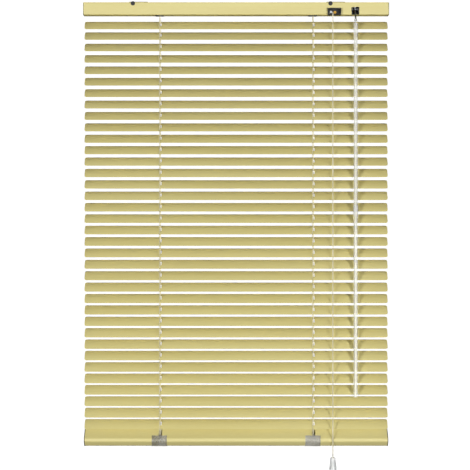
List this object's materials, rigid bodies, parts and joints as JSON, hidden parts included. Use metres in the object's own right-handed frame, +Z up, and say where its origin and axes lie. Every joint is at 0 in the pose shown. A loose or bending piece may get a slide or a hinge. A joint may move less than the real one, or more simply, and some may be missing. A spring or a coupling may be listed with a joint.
{
  "type": "venetian blind",
  "caption": "Horizontal-slat aluminium window blind in pale yellow, with a ceiling-hung headrail, a clear tilt wand, a pull cord with tassel, and a tilting bottom rail.",
  "frame": {"origin": "middle of the line between the two bracket screws, in the ceiling plane on top of the bracket plates", "axes": "+X along the headrail to the cord and wand end, -Y towards the room, +Z up"},
  "size_m": [0.59, 0.0406, 0.9027],
  "materials": {
    "enamel": "semi-gloss stove enamel",
    "cap_plastic": "moulded",
    "zinc_steel": "zinc plated",
    "black_steel": "black enamel",
    "brass": "turned",
    "nylon": "moulded nylon",
    "clear_plastic": "clear polycarbonate",
    "smoked_plastic": "translucent grey",
    "cord": "braided polyester"
  },
  "bodies": {
    "headrail": {"headrail": "enamel", "headrail_end_caps": "cap_plastic", "bracket_plates": "black_steel", "ladder_cradles": "nylon", "tilter_housing": "nylon", "cord_lock_housing": "zinc_steel", "lift_cords": "cord"},
    "tilt_rod": {"tilt_rod": "zinc_steel", "worm_gear": "nylon"},
    "worm_shaft": {"worm_shaft": "zinc_steel"},
    "wand_swivel": {"wand_swivel": "clear_plastic"},
    "wand": {"wand_upper": "clear_plastic", "wand_lower": "clear_plastic"},
    "cam_lever_left": {"cam_lever_left": "black_steel"},
    "cam_lever_right": {"cam_lever_right": "black_steel"},
    "cord_lock_roller": {"cord_lock_roller": "brass"},
    "lift": {"lift_cord_knots": "nylon"},
    "bottom_rail": {"bottom_rail": "enamel", "bottom_rail_caps": "cap_plastic", "ladder_clips": "clear_plastic"},
    "ladder_front": {"ladder_front_cords": "cord"},
    "ladder_back": {"ladder_back_cords": "cord"},
    "pull_cord": {"pull_cord": "cord", "tassel": "smoked_plastic"},
    "slat_01": {"slat_01": "enamel"},
    "slat_02": {"slat_02": "enamel"},
    "slat_03": {"slat_03": "enamel"},
    "slat_04": {"slat_04": "enamel"},
    "slat_05": {"slat_05": "enamel"},
    "slat_06": {"slat_06": "enamel"},
    "slat_07": {"slat_07": "enamel"},
    "slat_08": {"slat_08": "enamel"},
    "slat_09": {"slat_09": "enamel"},
    "slat_10": {"slat_10": "enamel"},
    "slat_11": {"slat_11": "enamel"},
    "slat_12": {"slat_12": "enamel"},
    "slat_13": {"slat_13": "enamel"},
    "slat_14": {"slat_14": "enamel"},
    "slat_15": {"slat_15": "enamel"},
    "slat_16": {"slat_16": "enamel"},
    "slat_17": {"slat_17": "enamel"},
    "slat_18": {"slat_18": "enamel"},
    "slat_19": {"slat_19": "enamel"},
    "slat_20": {"slat_20": "enamel"},
    "slat_21": {"slat_21": "enamel"},
    "slat_22": {"slat_22": "enamel"},
    "slat_23": {"slat_23": "enamel"},
    "slat_24": {"slat_24": "enamel"},
    "slat_25": {"slat_25": "enamel"},
    "slat_26": {"slat_26": "enamel"},
    "slat_27": {"slat_27": "enamel"},
    "slat_28": {"slat_28": "enamel"},
    "slat_29": {"slat_29": "enamel"},
    "slat_30": {"slat_30": "enamel"},
    "slat_31": {"slat_31": "enamel"},
    "slat_32": {"slat_32": "enamel"},
    "slat_33": {"slat_33": "enamel"},
    "slat_34": {"slat_34": "enamel"},
    "slat_35": {"slat_35": "enamel"},
    "slat_36": {"slat_36": "enamel"}
  },
  "joints": [
    {"name": "tilt", "type": "hinge", "parent": "headrail", "child": "tilt_rod", "pos_m": [0, 0.001, -0.0137], "axis": [1, 0, 0], "range_deg": [-174.4, 36.8]},
    {"name": "worm_turn", "type": "hinge", "parent": "headrail", "child": "worm_shaft", "pos_m": [0.23, -0.00625, -0.01032], "axis": [0, 0.4226, 0.9063], "range_deg": [-2092.8, 441.6]},
    {"name": "wand_swing", "type": "hinge", "parent": "headrail", "child": "wand_swivel", "pos_m": [0.23, -0.01851, -0.03661], "axis": [-1, 0, 0], "range_deg": [0, 35]},
    {"name": "wand_turn", "type": "hinge", "parent": "wand_swivel", "child": "wand", "pos_m": [0.23, -0.01851, -0.03661], "axis": [0, 0, 1], "range_deg": [-2092.8, 441.6]},
    {"name": "lever_left", "type": "hinge", "parent": "headrail", "child": "cam_lever_left", "pos_m": [-0.1825, 0, 0], "axis": [0, 0, 1], "range_deg": [0, 90]},
    {"name": "lever_right", "type": "hinge", "parent": "headrail", "child": "cam_lever_right", "pos_m": [0.1985, 0, 0], "axis": [0, 0, 1], "range_deg": [0, 90]},
    {"name": "lock_roller_slide", "type": "slide", "parent": "headrail", "child": "cord_lock_roller", "axis": [0.8192, 0, 0.5736], "range_m": [0, 0.0025]},
    {"name": "lift", "type": "slide", "parent": "headrail", "child": "lift", "axis": [0, 0, 1], "range_m": [0, 0.017], "deforming": ["lift_cords", "ladder_front_cords", "ladder_back_cords"]},
    {"name": "pull", "type": "slide", "parent": "headrail", "child": "pull_cord", "axis": [0, 0, -1], "range_m": [0, 0.017]},
    {"name": "rail_tilt", "type": "hinge", "parent": "lift", "child": "bottom_rail", "pos_m": [0, 0, -0.84256], "axis": [1, 0, 0], "range_deg": [-109, 23]},
    {"name": "slat_01_tilt", "type": "hinge", "parent": "headrail", "child": "slat_01", "pos_m": [0, 0, -0.0441], "axis": [1, 0, 0], "range_deg": [-109, 23]},
    {"name": "slat_02_tilt", "type": "hinge", "parent": "headrail", "child": "slat_02", "pos_m": [0, 0, -0.0645], "axis": [1, 0, 0], "range_deg": [-109, 23]},
    {"name": "slat_03_tilt", "type": "hinge", "parent": "headrail", "child": "slat_03", "pos_m": [0, 0, -0.08659], "axis": [1, 0, 0], "range_deg": [-109, 23]},
    {"name": "slat_04_tilt", "type": "hinge", "parent": "headrail", "child": "slat_04", "pos_m": [0, 0, -0.10868], "axis": [1, 0, 0], "range_deg": [-109, 23]},
    {"name": "slat_05_tilt", "type": "hinge", "parent": "headrail", "child": "slat_05", "pos_m": [0, 0, -0.13077], "axis": [1, 0, 0], "range_deg": [-109, 23]},
    {"name": "slat_06_tilt", "type": "hinge", "parent": "headrail", "child": "slat_06", "pos_m": [0, 0, -0.15286], "axis": [1, 0, 0], "range_deg": [-109, 23]},
    {"name": "slat_07_tilt", "type": "hinge", "parent": "headrail", "child": "slat_07", "pos_m": [0, 0, -0.17495], "axis": [1, 0, 0], "range_deg": [-109, 23]},
    {"name": "slat_08_tilt", "type": "hinge", "parent": "headrail", "child": "slat_08", "pos_m": [0, 0, -0.19704], "axis": [1, 0, 0], "range_deg": [-109, 23]},
    {"name": "slat_09_tilt", "type": "hinge", "parent": "headrail", "child": "slat_09", "pos_m": [0, 0, -0.21913], "axis": [1, 0, 0], "range_deg": [-109, 23]},
    {"name": "slat_10_tilt", "type": "hinge", "parent": "headrail", "child": "slat_10", "pos_m": [0, 0, -0.24122], "axis": [1, 0, 0], "range_deg": [-109, 23]},
    {"name": "slat_11_tilt", "type": "hinge", "parent": "headrail", "child": "slat_11", "pos_m": [0, 0, -0.26331], "axis": [1, 0, 0], "range_deg": [-109, 23]},
    {"name": "slat_12_tilt", "type": "hinge", "parent": "headrail", "child": "slat_12", "pos_m": [0, 0, -0.2854], "axis": [1, 0, 0], "range_deg": [-109, 23]},
    {"name": "slat_13_tilt", "type": "hinge", "parent": "headrail", "child": "slat_13", "pos_m": [0, 0, -0.30749], "axis": [1, 0, 0], "range_deg": [-109, 23]},
    {"name": "slat_14_tilt", "type": "hinge", "parent": "headrail", "child": "slat_14", "pos_m": [0, 0, -0.32958], "axis": [1, 0, 0], "range_deg": [-109, 23]},
    {"name": "slat_15_tilt", "type": "hinge", "parent": "headrail", "child": "slat_15", "pos_m": [0, 0, -0.35167], "axis": [1, 0, 0], "range_deg": [-109, 23]},
    {"name": "slat_16_tilt", "type": "hinge", "parent": "headrail", "child": "slat_16", "pos_m": [0, 0, -0.37376], "axis": [1, 0, 0], "range_deg": [-109, 23]},
    {"name": "slat_17_tilt", "type": "hinge", "parent": "headrail", "child": "slat_17", "pos_m": [0, 0, -0.39585], "axis": [1, 0, 0], "range_deg": [-109, 23]},
    {"name": "slat_18_tilt", "type": "hinge", "parent": "headrail", "child": "slat_18", "pos_m": [0, 0, -0.41794], "axis": [1, 0, 0], "range_deg": [-109, 23]},
    {"name": "slat_19_tilt", "type": "hinge", "parent": "headrail", "child": "slat_19", "pos_m": [0, 0, -0.44003], "axis": [1, 0, 0], "range_deg": [-109, 23]},
    {"name": "slat_20_tilt", "type": "hinge", "parent": "headrail", "child": "slat_20", "pos_m": [0, 0, -0.46212], "axis": [1, 0, 0], "range_deg": [-109, 23]},
    {"name": "slat_21_tilt", "type": "hinge", "parent": "headrail", "child": "slat_21", "pos_m": [0, 0, -0.48421], "axis": [1, 0, 0], "range_deg": [-109, 23]},
    {"name": "slat_22_tilt", "type": "hinge", "parent": "headrail", "child": "slat_22", "pos_m": [0, 0, -0.5063], "axis": [1, 0, 0], "range_deg": [-109, 23]},
    {"name": "slat_23_tilt", "type": "hinge", "parent": "headrail", "child": "slat_23", "pos_m": [0, 0, -0.52839], "axis": [1, 0, 0], "range_deg": [-109, 23]},
    {"name": "slat_24_tilt", "type": "hinge", "parent": "headrail", "child": "slat_24", "pos_m": [0, 0, -0.55048], "axis": [1, 0, 0], "range_deg": [-109, 23]},
    {"name": "slat_25_tilt", "type": "hinge", "parent": "headrail", "child": "slat_25", "pos_m": [0, 0, -0.57257], "axis": [1, 0, 0], "range_deg": [-109, 23]},
    {"name": "slat_26_tilt", "type": "hinge", "parent": "headrail", "child": "slat_26", "pos_m": [0, 0, -0.59466], "axis": [1, 0, 0], "range_deg": [-109, 23]},
    {"name": "slat_27_tilt", "type": "hinge", "parent": "headrail", "child": "slat_27", "pos_m": [0, 0, -0.61675], "axis": [1, 0, 0], "range_deg": [-109, 23]},
    {"name": "slat_28_tilt", "type": "hinge", "parent": "headrail", "child": "slat_28", "pos_m": [0, 0, -0.63884], "axis": [1, 0, 0], "range_deg": [-109, 23]},
    {"name": "slat_29_tilt", "type": "hinge", "parent": "headrail", "child": "slat_29", "pos_m": [0, 0, -0.66093], "axis": [1, 0, 0], "range_deg": [-109, 23]},
    {"name": "slat_30_tilt", "type": "hinge", "parent": "headrail", "child": "slat_30", "pos_m": [0, 0, -0.68302], "axis": [1, 0, 0], "range_deg": [-109, 23]},
    {"name": "slat_31_tilt", "type": "hinge", "parent": "headrail", "child": "slat_31", "pos_m": [0, 0, -0.70511], "axis": [1, 0, 0], "range_deg": [-109, 23]},
    {"name": "slat_32_tilt", "type": "hinge", "parent": "headrail", "child": "slat_32", "pos_m": [0, 0, -0.7272], "axis": [1, 0, 0], "range_deg": [-109, 23]},
    {"name": "slat_33_tilt", "type": "hinge", "parent": "headrail", "child": "slat_33", "pos_m": [0, 0, -0.74929], "axis": [1, 0, 0], "range_deg": [-109, 23]},
    {"name": "slat_34_tilt", "type": "hinge", "parent": "headrail", "child": "slat_34", "pos_m": [0, 0, -0.77138], "axis": [1, 0, 0], "range_deg": [-109, 23]},
    {"name": "slat_35_tilt", "type": "hinge", "parent": "headrail", "child": "slat_35", "pos_m": [0, 0, -0.79347], "axis": [1, 0, 0], "range_deg": [-109, 23]},
    {"name": "slat_36_tilt", "type": "hinge", "parent": "lift", "child": "slat_36", "pos_m": [0, 0, -0.81556], "axis": [1, 0, 0], "range_deg": [-109, 23]},
    {"name": "ladder_front_hang", "type": "hinge", "parent": "slat_01", "child": "ladder_front", "pos_m": [0, -0.00941, -0.0541], "axis": [1, 0, 0], "range_deg": [-23, 109]},
    {"name": "ladder_back_hang", "type": "hinge", "parent": "slat_01", "child": "ladder_back", "pos_m": [0, 0.01063, -0.03541], "axis": [1, 0, 0], "range_deg": [-23, 109]}
  ],
  "couplings": [
    {"joint": "worm_turn", "follows": "tilt", "ratio": 12},
    {"joint": "wand_turn", "follows": "tilt", "ratio": 12},
    {"joint": "pull", "follows": "lift", "ratio": 1},
    {"joint": "rail_tilt", "follows": "tilt", "ratio": 0.625},
    {"joint": "slat_01_tilt", "follows": "tilt", "ratio": 0.625},
    {"joint": "slat_02_tilt", "follows": "tilt", "ratio": 0.625},
    {"joint": "slat_03_tilt", "follows": "tilt", "ratio": 0.625},
    {"joint": "slat_04_tilt", "follows": "tilt", "ratio": 0.625},
    {"joint": "slat_05_tilt", "follows": "tilt", "ratio": 0.625},
    {"joint": "slat_06_tilt", "follows": "tilt", "ratio": 0.625},
    {"joint": "slat_07_tilt", "follows": "tilt", "ratio": 0.625},
    {"joint": "slat_08_tilt", "follows": "tilt", "ratio": 0.625},
    {"joint": "slat_09_tilt", "follows": "tilt", "ratio": 0.625},
    {"joint": "slat_10_tilt", "follows": "tilt", "ratio": 0.625},
    {"joint": "slat_11_tilt", "follows": "tilt", "ratio": 0.625},
    {"joint": "slat_12_tilt", "follows": "tilt", "ratio": 0.625},
    {"joint": "slat_13_tilt", "follows": "tilt", "ratio": 0.625},
    {"joint": "slat_14_tilt", "follows": "tilt", "ratio": 0.625},
    {"joint": "slat_15_tilt", "follows": "tilt", "ratio": 0.625},
    {"joint": "slat_16_tilt", "follows": "tilt", "ratio": 0.625},
    {"joint": "slat_17_tilt", "follows": "tilt", "ratio": 0.625},
    {"joint": "slat_18_tilt", "follows": "tilt", "ratio": 0.625},
    {"joint": "slat_19_tilt", "follows": "tilt", "ratio": 0.625},
    {"joint": "slat_20_tilt", "follows": "tilt", "ratio": 0.625},
    {"joint": "slat_21_tilt", "follows": "tilt", "ratio": 0.625},
    {"joint": "slat_22_tilt", "follows": "tilt", "ratio": 0.625},
    {"joint": "slat_23_tilt", "follows": "tilt", "ratio": 0.625},
    {"joint": "slat_24_tilt", "follows": "tilt", "ratio": 0.625},
    {"joint": "slat_25_tilt", "follows": "tilt", "ratio": 0.625},
    {"joint": "slat_26_tilt", "follows": "tilt", "ratio": 0.625},
    {"joint": "slat_27_tilt", "follows": "tilt", "ratio": 0.625},
    {"joint": "slat_28_tilt", "follows": "tilt", "ratio": 0.625},
    {"joint": "slat_29_tilt", "follows": "tilt", "ratio": 0.625},
    {"joint": "slat_30_tilt", "follows": "tilt", "ratio": 0.625},
    {"joint": "slat_31_tilt", "follows": "tilt", "ratio": 0.625},
    {"joint": "slat_32_tilt", "follows": "tilt", "ratio": 0.625},
    {"joint": "slat_33_tilt", "follows": "tilt", "ratio": 0.625},
    {"joint": "slat_34_tilt", "follows": "tilt", "ratio": 0.625},
    {"joint": "slat_35_tilt", "follows": "tilt", "ratio": 0.625},
    {"joint": "slat_36_tilt", "follows": "tilt", "ratio": 0.625},
    {"joint": "ladder_front_hang", "follows": "tilt", "ratio": -0.625},
    {"joint": "ladder_back_hang", "follows": "tilt", "ratio": -0.625}
  ]
}
